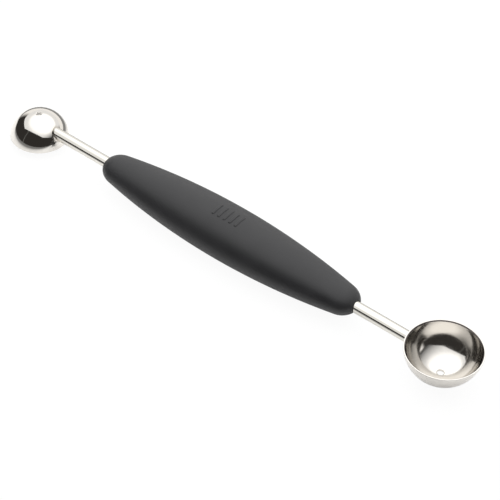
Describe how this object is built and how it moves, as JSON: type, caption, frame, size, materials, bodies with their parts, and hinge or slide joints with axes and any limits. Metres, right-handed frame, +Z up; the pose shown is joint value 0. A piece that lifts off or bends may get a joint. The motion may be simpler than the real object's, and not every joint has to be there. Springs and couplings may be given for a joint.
{
  "type": "melon baller",
  "caption": "Melon baller with a large and a small polished steel bowl on the two ends of one oval soft rubber grip, the bowls facing opposite ways.",
  "frame": {"origin": "under the middle of the overall length, on the plane that the tool lies on", "axes": "+X along the tool towards the large bowl, +Y across it, +Z up, the way the large bowl opens"},
  "size_m": [0.2244, 0.03, 0.0186],
  "materials": {
    "bowl_steel": "mirror polished stainless steel",
    "rod_steel": "polished stainless steel",
    "weld_steel": "polished stainless steel weld metal",
    "grip_rubber": "soft matte thermoplastic rubber",
    "core_plastic": "moulded polypropylene"
  },
  "bodies": {
    "root": {"large_bowl": "bowl_steel", "large_bowl_weld": "weld_steel", "large_shank": "rod_steel", "small_bowl": "bowl_steel", "small_bowl_weld": "weld_steel", "small_shank": "rod_steel", "core_upper_half": "core_plastic", "core_lower_half": "core_plastic", "grip_sleeve": "grip_rubber"}
  },
  "joints": []
}
